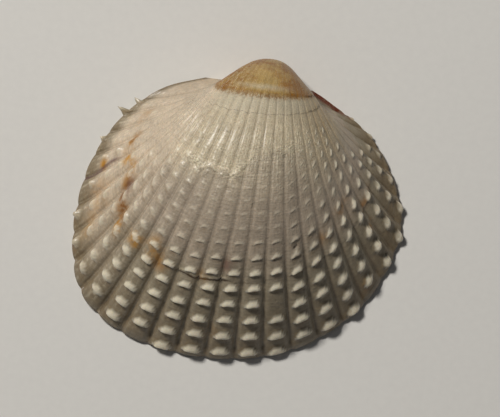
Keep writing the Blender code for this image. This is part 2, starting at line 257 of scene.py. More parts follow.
# Single marks seen in the photograph: a share, a turn, then a reach and a height in millimetres
MARGIN_LENGTH = 40.0
ALONG_A_RIB = 15.0
SPINES = (
    (0.089, 0.060, 0.19, 0.75),
    (0.103, 0.012, 0.20, 0.92),
    (0.144, 0.016, 0.18, 0.55),
)
PITS = (
    (0.617, 0.451, 0.11, -0.12),
    (0.531, 0.679, 0.13, -0.03),
    (0.466, 0.754, 0.12, -0.03),
    (0.714, 0.039, 0.12, -0.05),
    (0.491, 0.805, 0.30, -0.04),
    (0.478, 0.835, 0.16, 0.03),
    (0.400, 0.822, 0.26, 0.05),
    (0.372, 0.868, 0.20, 0.04),
    (0.438, 0.822, 0.18, 0.04),
)

# Stains: a share, a turn, a reach in millimetres, then how golden, how brown and how purple
STAINS = (
    (0.171, 0.345, 0.36, 1.0, 0.9, 0.0),
    (0.178, 0.311, 0.30, 1.0, 0.3, 0.0),
    (0.205, 0.351, 0.34, 1.2, 0.0, 0.0),
    (0.222, 0.395, 0.34, 0.8, 0.1, 0.0),
    (0.240, 0.420, 0.36, 0.9, 0.1, 0.1),
    (0.254, 0.371, 0.34, 0.7, 0.0, 0.2),
    (0.262, 0.400, 0.42, 0.2, 0.5, 0.8),
    (0.272, 0.350, 0.34, 1.0, 1.0, 0.2),
    (0.292, 0.345, 0.40, 0.8, 0.9, 0.1),
    (0.303, 0.300, 0.34, 1.2, 0.3, 0.0),
    (0.345, 0.350, 0.36, 1.1, 0.2, 0.0),
    (0.383, 0.352, 0.32, 0.8, 0.3, 0.0),
    (0.376, 0.400, 0.30, 0.6, 0.2, 0.0),
    (0.398, 0.330, 0.36, 0.4, 0.3, 0.0),
    (0.185, 0.122, 0.26, 1.3, 0.2, 0.0),
    (0.120, 0.280, 0.60, 0.35, 0.1, 0.1),
    (0.215, 0.120, 0.60, 0.30, 0.0, 0.1),
    (0.240, 0.180, 0.70, 0.35, 0.0, 0.0),
    (0.265, 0.100, 0.60, 0.35, 0.0, 0.0),
    (0.500, 0.400, 0.30, 0.0, 0.6, 0.4),
    (0.464, 0.338, 0.28, 0.4, 0.2, 0.0),
    (0.497, 0.110, 0.26, 0.4, 0.2, 0.0),
    (0.795, 0.335, 0.26, 0.3, 0.8, 0.0),
    (0.774, 0.345, 0.26, 0.4, 0.6, 0.0),
    (0.763, 0.235, 0.26, 0.4, 0.3, 0.0),
    (0.724, 0.480, 0.40, 0.4, 0.4, 0.0),
    (0.672, 0.425, 0.32, 0.3, 0.3, 0.0),
    (0.715, 0.060, 0.40, 0.3, 0.1, 0.0),
)
PURPLE_FURROW = 0.192

# Inside of the valve
WALL = 0.80
WALL_THINNING = 0.25
CAVITY_CENTRE = np.array((-0.40, -6.20))
CAVITY_ROWS = 34
CAVITY_DOME_TURN = 1.70
CAVITY_END_TURN = 2.02
RIB_STEPS_INSIDE = 6
BARE_STEPS_INSIDE = 3
HINGE_STEPS = 30
CRENULATION = 0.13
CRENULATION_TURN = 0.30
SEAM_GAP = 0.0001

# Hinge plate: centre x and y, half length, half width, depth or height, turn in degrees
PLATE_FROM = -4.7
PLATE_TO = 4.2
PLATE_DEEP = 2.1
PLATE_CELL = 0.10
PLATE_SINK = 0.13
SINK_FROM = 0.03
SINK_FULL = 0.22
CUT_GAP = 0.002
SOCKETS = (
    (-0.62, -0.44, 0.36, 0.20, 0.34, 62.0),
    (0.50, -0.40, 0.34, 0.20, 0.34, -58.0),
    (-3.48, -0.69, 0.80, 0.13, 0.16, 24.0),
    (3.02, -0.95, 0.72, 0.13, 0.16, -38.0),
)
TEETH = (
    (-0.10, -0.42, 0.32, 0.19, 1.0, 74.0),
    (-1.06, -0.50, 0.26, 0.15, 1.0, 48.0),
    (0.94, -0.48, 0.26, 0.15, 1.0, -44.0),
    (-3.35, -1.02, 0.62, 0.15, 1.0, 24.0),
    (2.82, -1.22, 0.58, 0.15, 1.0, -38.0),
)


def smooth_margin():
    """Return the margin as a fine smooth curve through its points."""
    points = np.array(MARGIN)
    padded = np.vstack([points[:1], points, points[-1:]])
    part = (np.arange(MARGIN_STEPS) / MARGIN_STEPS)[:, None]
    spans = []
    for before, start, end, after in zip(padded, padded[1:], padded[2:], padded[3:]):
        bend = (end - before) * part + (2 * before - 5 * start + 4 * end - after) * part ** 2
        twist = (3 * start - before - 3 * end + after) * part ** 3
        spans.append(start + 0.5 * (bend + twist))
    curve = np.vstack(spans + [points[-1:]])
    curve[:, 1] = np.minimum(curve[:, 1], 0.0)
    return curve


def reached_shares(curve):
    """Return the share of a curve's length that is reached at each of its points."""
    steps = np.linalg.norm(np.diff(curve, axis=0), axis=1)
    lengths = np.concatenate([[0.0], np.cumsum(steps)])
    return lengths / lengths[-1]


MARGIN_CURVE = smooth_margin()
MARGIN_SHARES = reached_shares(MARGIN_CURVE)


def margin_at(share):
    """Return x and y of the margin at these shares."""
    x = np.interp(share, MARGIN_SHARES, MARGIN_CURVE[:, 0])
    y = np.interp(share, MARGIN_SHARES, MARGIN_CURVE[:, 1])
    return x, y


def smooth(value, low, high):
    """Return a soft step from 0 at low to 1 at high."""
    part = np.clip((value - low) / (high - low), 0.0, 1.0)
    return part * part * (3.0 - 2.0 * part)


def size_at(turn):
    """Return the size of the young shell at these turns, as a share of the grown one."""
    return np.exp(-SHRINK_RATE * turn) * (1.0 - BEAK_NARROWING * smooth(turn, NARROWS_FROM, NARROWS_TO))


def drift(size):
    """Return how far the young shell lay towards the front: the beak turns that way."""
    return BEAK_DRIFT * (1.0 - size) ** 4


def rib_line(share, turn):
    """Return where a line that reaches this share of the margin lay when the shell was young."""
    aside = np.tanh((share - CROWDING_CENTRE) / CROWDING_REACH)
    youth = (1.0 - size_at(turn)) ** 2
    hold_ends = 1.0 - np.abs(2.0 * share - 1.0) ** 6
    return share - CROWDING * aside * youth * hold_ends


def smooth_surface(share, turn):
    """Return points of the outer surface without its ribs."""
    x, y = margin_at(rib_line(share, turn))
    size = size_at(turn)
    height = RIM_EDGE - y * size * np.sin(turn)
    return np.stack([x * size + drift(size), y * size * np.cos(turn), height], axis=-1) + SPIRAL_CENTRE


def unit(vectors):
    """Return vectors made one long."""
    return vectors / np.maximum(np.linalg.norm(vectors, axis=-1, keepdims=True), 1e-9)


def surface_directions(share, turn):
    """Return the outward direction of the outer surface, and the one along a rib to the margin."""
    low = np.maximum(share - CLOSE_BY, 0.0)
    high = np.minimum(share + CLOSE_BY, 1.0)
    across = smooth_surface(high, turn) - smooth_surface(low, turn)
    late = smooth_surface(share, np.maximum(turn - CLOSE_BY, 0.0))
    early = smooth_surface(share, turn + CLOSE_BY)
    return unit(np.cross(across, early - late)), unit(late - early)


def rib_widths():
    """Return the width of each rib at the margin, as shares of its length."""
    rib = np.arange(RIB_COUNT)
    rear = np.maximum(0.0, 1.0 - rib / REAR_NARROW_RIBS)
    front = np.maximum(0.0, 1.0 - (RIB_COUNT - 1 - rib) / FRONT_NARROW_RIBS)
    widths = 1.0 - REAR_NARROWING * rear - FRONT_NARROWING * front
    return widths * (RIBS_TO - RIBS_FROM) / widths.sum()


RIB_WIDTHS = rib_widths()
FURROWS = RIBS_FROM + np.concatenate([[0.0], np.cumsum(RIB_WIDTHS)])
RIB_MIDDLES = 0.5 * (FURROWS[1:] + FURROWS[:-1])


def papilla_pitch(share):
    """Return the turn between two papillae on the ribs that reach these shares."""
    x, y = margin_at(share)
    speed = np.sqrt((SHRINK_RATE * x) ** 2 + (SHRINK_RATE * y) ** 2 + y ** 2)
    return np.minimum(PAPILLA_SPACING / speed, WIDEST_PITCH)


def wave(rib, row, salt):
    """Return a repeatable uneven number from -1 to 1 for one papilla."""
    return random.Random(rib + RIB_COUNT * (row + SEEDED_ROWS * salt)).uniform(-1.0, 1.0)


def waves(salt):
    """Return an uneven number for every papilla, rib by rib."""
    return np.array([[wave(rib, row, salt) for row in range(PAPILLA_ROWS)] for rib in range(RIB_COUNT)])


def first_papilla(share):
    """Return the turn of the first papilla, even over each crest and blended over the furrows."""
    reach = FLAT_FROM_MIDDLE * RIB_WIDTHS
    knots = np.stack([RIB_MIDDLES - reach, RIB_MIDDLES + reach], axis=-1).ravel()
    return np.interp(share, knots, np.repeat(FIRST_PAPILLA, 2))


def papilla_wear():
    """Return how worn each papilla is, from 0 to MOST_WORN, and how big the shell was at each."""
    rib = np.arange(RIB_COUNT)[:, None]
    row = np.arange(PAPILLA_ROWS)[None, :]
    size = size_at(np.array(FIRST_PAPILLA)[:, None] + row * papilla_pitch(RIB_MIDDLES)[:, None])
    flank = np.minimum(1.0, np.abs(rib - 0.5 * RIB_COUNT) / (0.5 * RIB_COUNT))
    wear = np.clip((WORN_FROM - size) / (WORN_FROM - WORN_TO), 0.0, 1.0)
    return wear * MOST_WORN * (1.0 - FLANK_SHELTER * flank), size


def papilla_heights(wear, size):
    """Return the height of each papilla."""
    full = np.full(size.shape, PAPILLA_HEIGHT)
    full[:SPINE_RIBS, 0] = SPINE_HEIGHT
    heights = full * size * (1.0 - wear) * (1.0 + UNEVEN_HEIGHT * waves(1))
    heights[size < SMOOTH_SIZE] = 0.0
    heights[BARE_RIB, list(BARE_RIB_ROWS)] = 0.0
    heights[:len(SPINES), 0] = 0.0
    for rib, count in enumerate(REAR_COUNTS):
        heights[rib, count:] = 0.0
    for from_front, count in enumerate(FRONT_COUNTS):
        heights[RIB_COUNT - 1 - from_front, count:] = 0.0
    return heights


def grid_columns():
    """Return each column's rib, its place across the rib, and its share of the margin."""
    rear = np.linspace(0.0, RIBS_FROM, BARE_STRIPS, endpoint=False)
    front = np.linspace(RIBS_TO, 1.0, BARE_STRIPS + 1)
    rib = np.repeat(np.arange(RIB_COUNT), len(RIB_PLACES))
    place = np.tile(RIB_PLACES, RIB_COUNT)
    share = RIB_MIDDLES[rib] + place * RIB_WIDTHS[rib]
    ribs = np.concatenate([np.zeros(len(rear), int), rib, np.full(len(front), RIB_COUNT - 1)])
    places = np.concatenate([np.full(len(rear), -0.5), place, np.full(len(front), 0.5)])
    shares = np.concatenate([rear, share, front])
    bare = (shares < RIBS_FROM) | (shares > RIBS_TO)
    return ribs, places, shares, bare


def grid_rows():
    """Return each row's papilla, its place along the papilla's stretch, and its way to the beak."""
    row = np.repeat(np.arange(PAPILLA_ROWS), len(ROW_PLACES))
    place = np.tile(ROW_PLACES, PAPILLA_ROWS)
    rest = np.linspace(0.0, 1.0, BEAK_ROWS + 1) ** BEAK_EASE
    rows = np.concatenate([row, np.full(len(rest), PAPILLA_ROWS - 1)])
    places = np.concatenate([place, np.ones(len(rest))])
    to_beak = np.concatenate([np.zeros(len(place)), rest])
    return rows, places, to_beak


def papilla_shape(rib, across, along, wear, pointed, skew):
    """Return the height of a papilla as a share of its full height.

    On the disk it is a hood: a flat steep face towards the margin and a round back towards the
    umbo. On the rear flank it is a blunt cone, and on the front flank an oval knob.
    """
    knobbed = smooth(rib, FRONT_KNOBS_FROM, FRONT_KNOBS_FULL)
    knobbed = np.maximum(knobbed, 1.0 - smooth(rib, REAR_KNOBS_FULL, REAR_KNOBS_FROM))
    rear_slim = REAR_SLIMNESS * np.maximum(0.0, 1.0 - rib / REAR_SLIM_RIBS)
    front_slim = FRONT_SLIMNESS * np.maximum(0.0, 1.0 - (RIB_COUNT - 1 - rib) / FRONT_SLIM_RIBS)
    slim = 1.0 - rear_slim - front_slim
    across = across / slim
    along = CREST + (along - CREST) / slim
    a = np.clip(np.abs(across) / (PAPILLA_HALF_WIDTH * (1.0 - 0.35 * wear)), 0.0, 1.0)
    crest = CREST - CREST_BOW * a ** 2 + skew * across
    back = PAPILLA_BACK * (1.0 - 0.5 * wear) * (0.30 + 0.70 * (1.0 - a ** 3))
    behind = np.clip((along - crest) / back, 0.0, 1.0)
    before = np.clip((crest - along) / PAPILLA_FRONT, 0.0, 1.0)
    hood = (1.0 - behind ** 1.6) * (1.0 - smooth(before, 0.0, 1.0)) * np.sqrt(1.0 - a ** 4)
    reach = np.sqrt((across / CONE_REACH) ** 2 + ((along - CREST) / CONE_REACH) ** 2)
    cone = np.clip(1.0 - reach, 0.0, 1.0) ** 1.15
    reach = np.sqrt((across / KNOB_ACROSS) ** 2 + ((along - CREST) / KNOB_ALONG) ** 2)
    taller = 1.0 + KNOB_EXTRA * smooth(rib, FRONT_KNOBS_FROM, FRONT_KNOBS_FULL)
    taller = taller * (1.0 - DORSAL_LOWNESS * smooth(rib, DORSAL_KNOBS_FROM, DORSAL_KNOBS_FULL))
    knob = taller * smooth(1.0 - reach, 0.0, 0.60)
    rounded = (1.0 - knobbed) * hood + knobbed * knob
    return (1.0 - pointed) * rounded + pointed * cone


def distance(share, turn, mark_share, mark_turn):
    """Return how far places on the shell lie from a mark, in millimetres."""
    aside = (share - mark_share) * MARGIN_LENGTH
    return size_at(mark_turn) * np.hypot(aside, (turn - mark_turn) * ALONG_A_RIB)


def single_marks(share, turn):
    """Return the relief of the pits and lumps, and the height of the rear spines."""
    relief = np.zeros_like(share)
    for mark_share, mark_turn, reach, height in PITS:
        relief += height * np.exp(-(distance(share, turn, mark_share, mark_turn) / reach) ** 4)
    spines = np.zeros_like(share)
    for mark_share, mark_turn, reach, height in SPINES:
        away = distance(share, turn, mark_share, mark_turn) / reach
        spines += height * np.clip(1.0 - away, 0.0, 1.0) ** 1.2
    return relief, spines


def stains(share, turn):
    """Return how golden, brown and purple the shell is stained."""
    colours = np.zeros(share.shape + (3,))
    for mark_share, mark_turn, reach, *strengths in STAINS:
        near = np.exp(-(distance(share, turn, mark_share, mark_turn) / reach) ** 2)
        colours += near[..., None] * np.array(strengths)
    wander = 0.003 * np.sin(19.0 * turn + 1.0)
    line = np.exp(-((share - PURPLE_FURROW - wander) / 0.0022) ** 2)
    colours[..., 2] += line * (1.0 - smooth(turn, 0.20, 0.30))
    return colours


def second_stop(share):
    """Return the turn at which growth stopped the second time: earlier towards the front."""
    return SECOND_STOP + SECOND_STOP_CLIMB * smooth(share, CLIMB_FROM, CLIMB_TO)


def growth_step(turn, stop, height, fade):
    """Return the relief of a stop in growth: the older shell stands over the newer one."""
    older = np.exp(-np.maximum(turn - stop, 0.0) / fade) * smooth(turn, stop - 0.006, stop + 0.006)
    groove = np.exp(-np.maximum(stop - turn, 0.0) / 0.02) * (turn < stop)
    return height * older - 0.6 * height * groove


def growth_relief(share, turn, across):
    """Return the steps and waves that growth left on the ribs."""
    ragged = STOP_ARCH * (1.0 - (2.0 * across) ** 2)
    for rate, start, reach in (QUICK_WAVE, SLOW_WAVE):
        ragged = ragged + reach * np.sin(rate * share + start)
    cracked = 1.0 + 0.9 * smooth(share, 0.40, 0.43) * (1.0 - smooth(share, 0.49, 0.52))
    lumpy = (1.0 + np.exp(-((share - 0.41) / 0.06) ** 2)) * (1.0 - 0.8 * smooth(share, 0.58, 0.66))
    relief = growth_step(turn, FIRST_STOP + 0.004 + ragged, STEP_HEIGHT * cracked, 0.10)
    relief += growth_step(turn, second_stop(share) + 2.0 * ragged, STEP_HEIGHT * lumpy, 0.16)
    in_crack = smooth(share, *CRACK_FROM) * (1.0 - smooth(share, *CRACK_TO))
    from_crack = (turn - FIRST_STOP - ragged) / CRACK_HALF_WIDTH
    relief -= CRACK_DEPTH * in_crack * np.exp(-from_crack ** 2)
    relief += growth_step(turn, THIRD_STOP + 0.5 * ragged, THIRD_STEP_HEIGHT, 0.10)
    relief += growth_step(turn, FOURTH_STOP + 0.5 * ragged, STEP_HEIGHT, 0.15)
    lines = np.sin(185.0 * turn + 3.0 * np.sin(9.0 * share))
    lines += 0.7 * np.sin(97.0 * turn + 2.0 + 2.0 * np.sin(14.0 * share))
    lumps = np.sin(31.0 * turn + 61.0 * share) * np.sin(150.0 * share + 2.0)
    return relief + size_at(turn) * (0.005 * lines + 0.008 * lumps)


def furrow_relief(rib, across, turn, bare):
    """Return the relief of the furrows and the crown of the ribs, both low on the rear flank."""
    size = size_at(turn)
    past_umbo = smooth(size, UMBO_SIZE - UMBO_BLEND, UMBO_SIZE + UMBO_BLEND)
    grown = UMBO_FURROW + (1.0 - UMBO_FURROW) * past_umbo
    rear = REAR_FURROW + (1.0 - REAR_FURROW) * smooth(rib, 0, REAR_FURROW_RIBS)
    edge = EDGE_FURROW + (1.0 - EDGE_FURROW) * smooth(turn, 0.0, EDGE_FURROW_TURN)
    depth = FURROW_DEPTH * size * grown * rear * edge
    furrow = smooth(np.abs(across), FURROW_FROM, 0.5)
    rounder = ROUND_CROWN * np.exp(-((rib - ROUND_RIB) / ROUND_REACH) ** 2)
    worn = 1.0 - DISK_SHALLOWNESS * smooth(turn, 0.35, 0.60) * smooth(rib, 6, 9)
    depth = depth * worn
    crown = (CROWN + rounder) * size * (2.0 * across) ** 2 * edge * worn
    return np.where(bare, -0.5 * depth, -depth * furrow - crown)


def outer_places():
    """Return everything that the outer surface needs to know at each point of its grid."""
    ribs, places, shares, bare = grid_columns()
    rows, alongs, to_beak = grid_rows()
    rib, row = np.meshgrid(ribs, rows)
    across, along = np.meshgrid(places, alongs)
    base_share, beak = np.meshgrid(shares, to_beak)
    ribbed = ~np.meshgrid(bare, rows)[0]
    with_papilla = ribbed & (beak == 0.0)
    room = np.cos(math.pi * across) ** 2 * np.cos(math.pi * (along - 0.5)) ** 2 * with_papilla
    moved_across = UNEVEN_ACROSS * waves(2)[rib, row] * room
    moved_along = UNEVEN_ALONG * waves(3)[rib, row] * room * (row > 0)
    share = base_share + moved_across * RIB_WIDTHS[rib]
    first = first_papilla(base_share) / papilla_pitch(base_share)
    at_margin = (row == 0) & (along < CREST)
    steps = np.where(at_margin, first * along / CREST, first + row + along - CREST)
    start = (steps + moved_along) * papilla_pitch(share)
    turn = start + (BEAK_TURN - start) * beak
    along = np.where(at_margin, CREST + first * (along / CREST - 1.0), along)
    return rib, row, across, along, share, turn, ribbed, with_papilla


def outer_surface():
    """Return the points of the outer surface, with their growth and relief values."""
    rib, row, across, along, share, turn, ribbed, with_papilla = outer_places()
    wear, sizes = papilla_wear()
    heights = papilla_heights(wear, sizes)[rib, row] * with_papilla
    pointed = np.where(row == 0, rib < SPINE_RIBS, rib < CONE_RIBS)
    skew = UNEVEN_SKEW * waves(4)[rib, row] + FLANK_SKEW * (rib - MIDDLE_RIB) / MIDDLE_RIB
    shape = papilla_shape(rib, across, along, wear[rib, row], pointed, skew) * (heights > 0.0)
    outward, to_margin = surface_directions(share, turn)
    marks, spines = single_marks(share, turn)
    raised = heights * shape + spines
    height = furrow_relief(rib, across, turn, ~ribbed) + growth_relief(share, turn, across)
    height = height + marks + raised
    lean = PAPILLA_LEAN * raised / PAPILLA_HEIGHT
    points = smooth_surface(share, turn) + outward * height[..., None] + to_margin * lean[..., None]
    # Patch below each papilla's steep face, for a brown that is partly stain and partly painted shade
    lee = np.exp(-((along - LEE_PLACE) / LEE_ALONG) ** 2 - (across / LEE_ACROSS) ** 2)
    lee = lee * (heights > LEE_LOWEST)
    growth = np.stack([share, turn, across * ribbed], axis=-1)
    on_disk = 1.0 - smooth(np.abs(share - 0.5), 0.12, 0.24)
    subdued = 1.0 - WORN_PALENESS * smooth(turn, 0.34, 0.48) * on_disk
    cap = smooth(shape, 0.08, 0.36) * np.sqrt(np.minimum(heights / 0.09, 1.0)) * subdued
    cap = np.maximum(cap, smooth(spines, 0.02, 0.15))
    relief = np.stack([cap, lee, np.zeros_like(cap)], axis=-1)
    return points, growth, relief, stains(share, turn)


def inner_outline():
    """Return the closed outline that the inside follows, with its crenulation and shares."""
    step = np.arange(RIB_COUNT * RIB_STEPS_INSIDE + 1) / RIB_STEPS_INSIDE
    ribbed = np.interp(step, np.arange(RIB_COUNT + 1), FURROWS)
    sign = np.tanh(2.2 * np.cos(2.0 * math.pi * step)) / math.tanh(2.2)
    rear = RIBS_FROM * np.arange(1, BARE_STEPS_INSIDE) / BARE_STEPS_INSIDE
    front = RIBS_TO + (1.0 - RIBS_TO) * np.arange(1, BARE_STEPS_INSIDE) / BARE_STEPS_INSIDE
    shares = np.concatenate([rear, ribbed, front])
    signs = np.concatenate([0.0 * rear, sign, 0.0 * front])
    points = np.stack(margin_at(shares), axis=-1)
    part = np.linspace(0.0, 1.0, HINGE_STEPS)[:, None]
    hinge = np.array(MARGIN[-1]) * (1.0 - part) + np.array(MARGIN[0]) * part
    shares = np.concatenate([shares, np.linspace(1.0, 0.0, HINGE_STEPS)])
    signs = np.concatenate([signs, np.zeros(HINGE_STEPS)])
    return np.vstack([points, hinge]), signs, shares


def inner_surface():
    """Return the points of the inside wall, with their growth and relief values."""
    outline, signs, shares = inner_outline()
    outline = np.vstack([outline, outline[:1]])
    signs = np.append(signs, signs[0])
    shares = np.append(shares, shares[0])
    turn = (CAVITY_END_TURN * np.linspace(0.0, 1.0, CAVITY_ROWS) ** 1.25)[:, None]
    size = size_at(turn)
    fade = np.maximum(0.0, 1.0 - turn / CRENULATION_TURN)
    wall = WALL * (1.0 - WALL_THINNING * (1.0 - size)) + CRENULATION * signs * fade
    outward = outline - CAVITY_CENTRE
    length = np.linalg.norm(outward, axis=1)
    past = np.clip((turn - CAVITY_DOME_TURN) / (CAVITY_END_TURN - CAVITY_DOME_TURN), 0.0, 1.0)
    kept = (length * size - wall) * np.sqrt(1.0 - past ** 2)
    direction = outward / length[:, None]
    x = CAVITY_CENTRE[0] * size + direction[:, 0] * kept + drift(size)
    y = CAVITY_CENTRE[1] * size + direction[:, 1] * kept
    points = np.stack([x, y * np.cos(turn), -y * np.sin(turn)], axis=-1) + SPIRAL_CENTRE
    growth = np.stack(np.broadcast_arrays(shares, turn, 0.5 * signs), axis=-1)
    relief = np.zeros_like(growth)
    relief[..., 2] = 1.0
    return points, growth, relief, np.zeros_like(growth)


def add_grid(mesh, wide, deep):
    """Add a grid and return its vertices, row by row."""
    grid = bmesh.ops.create_grid(mesh, x_segments=wide - 1, y_segments=deep - 1, size=1.0)
    ordered = sorted(grid["verts"], key=lambda vert: (round(vert.co.y, 5), round(vert.co.x, 5)))
    return [ordered[start:start + wide] for start in range(0, len(ordered), wide)]


def lay_grid(mesh, points, *values):
    """Add a grid whose vertices take these points and values, and return it row by row."""
    layers = [mesh.verts.layers.float_vector[name] for name in VALUE_NAMES]
    rows = add_grid(mesh, points.shape[1], points.shape[0])
    for number, verts in enumerate(rows):
        places = points[number].tolist()
        for vert, place in zip(verts, places):
            vert.co = place
        for layer, value in zip(layers, values):
            for vert, entry in zip(verts, value[number].tolist()):
                vert[layer] = entry
    return rows


def draw_together(mesh, verts):
    """Draw a row of vertices together in one point."""
    middle = sum((vert.co for vert in verts), Vector()) / len(verts)
    bmesh.ops.pointmerge(mesh, verts=verts, merge_co=middle)


def lay_rim(mesh):
    """Carry the open edge of the outer surface down to the resting plane, round its foot."""
    relief_layer = mesh.verts.layers.float_vector["relief"]
    growth_layer = mesh.verts.layers.float_vector["growth"]
    centre = Vector((CAVITY_CENTRE[0] + SPIRAL_CENTRE[0], CAVITY_CENTRE[1] + SPIRAL_CENTRE[1], 0.0))
    hinge_y = SPIRAL_CENTRE[1]
    edges = [edge for edge in mesh.edges if edge.is_boundary]
    starts = {}
    for inward, height in RIM_STEPS:
        before = {vert for edge in edges for vert in edge.verts}
        result = bmesh.ops.extrude_edge_only(mesh, edges=edges)
        verts = [item for item in result["geom"] if isinstance(item, bmesh.types.BMVert)]
        edges = [item for item in result["geom"] if isinstance(item, bmesh.types.BMEdge)]
        for vert in verts:
            parent = next(edge.other_vert(vert) for edge in vert.link_edges
                          if edge.other_vert(vert) in before)
            start = starts.get(parent, parent.co.copy())
            starts[vert] = start
            lift = RIM_LIFT * abs(2.0 * vert[growth_layer][2]) ** 3
            foot = Vector((start.x, min(start.y, hinge_y), height + lift))
            flat = Vector((centre.x - foot.x, centre.y - foot.y, 0.0)).normalized()
            vert.co = foot + flat * inward
            vert[relief_layer] = (0.0, 0.0, 0.5 * (1.0 - height / RIM_EDGE))


def hollow_inside(mesh):
    """Make the smooth inside wall, closed under the umbo."""
    rows = lay_grid(mesh, *inner_surface())
    draw_together(mesh, rows[-1])
    seam = [row[end] for row in rows[:-1] for end in (0, -1)]
    bmesh.ops.remove_doubles(mesh, verts=seam, dist=SEAM_GAP)


def fill_rim(mesh):
    """Close the rim between the foot of the outer surface and the mouth of the hollow."""
    edges = [edge for edge in mesh.edges if edge.is_boundary]
    filled = bmesh.ops.triangle_fill(mesh, use_beauty=True, use_dissolve=False, edges=edges,
                                     normal=(0.0, 0.0, -1.0))
    return [item for item in filled["geom"] if isinstance(item, bmesh.types.BMFace)]


def cut_finely(mesh, faces):
    """Cut the faces of the hinge plate into small cells, and return the cells."""
    parts = faces + list({edge for face in faces for edge in face.edges})
    parts += list({vert for face in faces for vert in face.verts})
    cuts = [(x, 0.0, (1.0, 0.0, 0.0)) for x in np.arange(PLATE_FROM, PLATE_TO, PLATE_CELL)]
    cuts += [(0.0, y, (0.0, 1.0, 0.0)) for y in np.arange(-PLATE_DEEP, 0.0, PLATE_CELL)]
    for x, y, direction in cuts:
        place = Vector((x + SPIRAL_CENTRE[0], y + SPIRAL_CENTRE[1], 0.0))
        cut = bmesh.ops.bisect_plane(mesh, geom=parts, dist=CUT_GAP, plane_co=place,
                                     plane_no=direction)
        parts = cut["geom"]
    return {part for part in parts if isinstance(part, bmesh.types.BMFace)}


def hollow_at(x, y, hollows):
    """Return how deep these hollows are at a place of the hinge plate."""
    deepest = 0.0
    for middle_x, middle_y, long, wide, deep, turn in hollows:
        angle = math.radians(turn)
        along = (x - middle_x) * math.cos(angle) + (y - middle_y) * math.sin(angle)
        aside = (y - middle_y) * math.cos(angle) - (x - middle_x) * math.sin(angle)
        inside = 1.0 - (along / long) ** 2 - (aside / wide) ** 2
        deepest = max(deepest, deep * math.sqrt(max(inside, 0.0)))
    return deepest


def sink_hinge(mesh, faces):
    """Sink the hinge plate a little between its edges and its teeth, and its sockets deeper."""
    near_hinge = [face for face in faces
                  if face.calc_center_median().y > SPIRAL_CENTRE[1] - PLATE_DEEP]
    plate = cut_finely(mesh, near_hinge)
    corners = {vert for face in plate for vert in face.verts}
    inner = [vert for vert in corners if all(face in plate for face in vert.link_faces)]
    edge_verts = [vert for vert in corners if vert not in set(inner)]
    tree = KDTree(len(edge_verts))
    for number, vert in enumerate(edge_verts):
        tree.insert(vert.co, number)
    tree.balance()
    for vert in inner:
        x, y = vert.co.x - SPIRAL_CENTRE[0], vert.co.y - SPIRAL_CENTRE[1]
        room = float(smooth(tree.find(vert.co)[2], SINK_FROM, SINK_FULL))
        tooth = min(1.0, 2.0 * hollow_at(x, y, TEETH))
        vert.co.z += room * max(PLATE_SINK * (1.0 - tooth), hollow_at(x, y, SOCKETS))


def grow_valve():
    """Make the mesh of the valve."""
    mesh = bmesh.new()
    for name in VALUE_NAMES:
        mesh.verts.layers.float_vector.new(name)
    rows = lay_grid(mesh, *outer_surface())
    draw_together(mesh, rows.pop())
    lay_rim(mesh)
    hollow_inside(mesh)
    sink_hinge(mesh, fill_rim(mesh))
    return mesh


def add_object(name, mesh, material):
    """Finish a mesh in metres, with its faces outward, and return it as an object."""
    bmesh.ops.recalc_face_normals(mesh, faces=mesh.faces)
    bmesh.ops.scale(mesh, vec=(MM, MM, MM), verts=mesh.verts)
    data = bpy.data.meshes.new(name)
    mesh.to_mesh(data)
    mesh.free()
    data.materials.append(material)
    data.shade_smooth()
    thing = bpy.data.objects.new(name, data)
    bpy.context.scene.collection.objects.link(thing)
    return thing


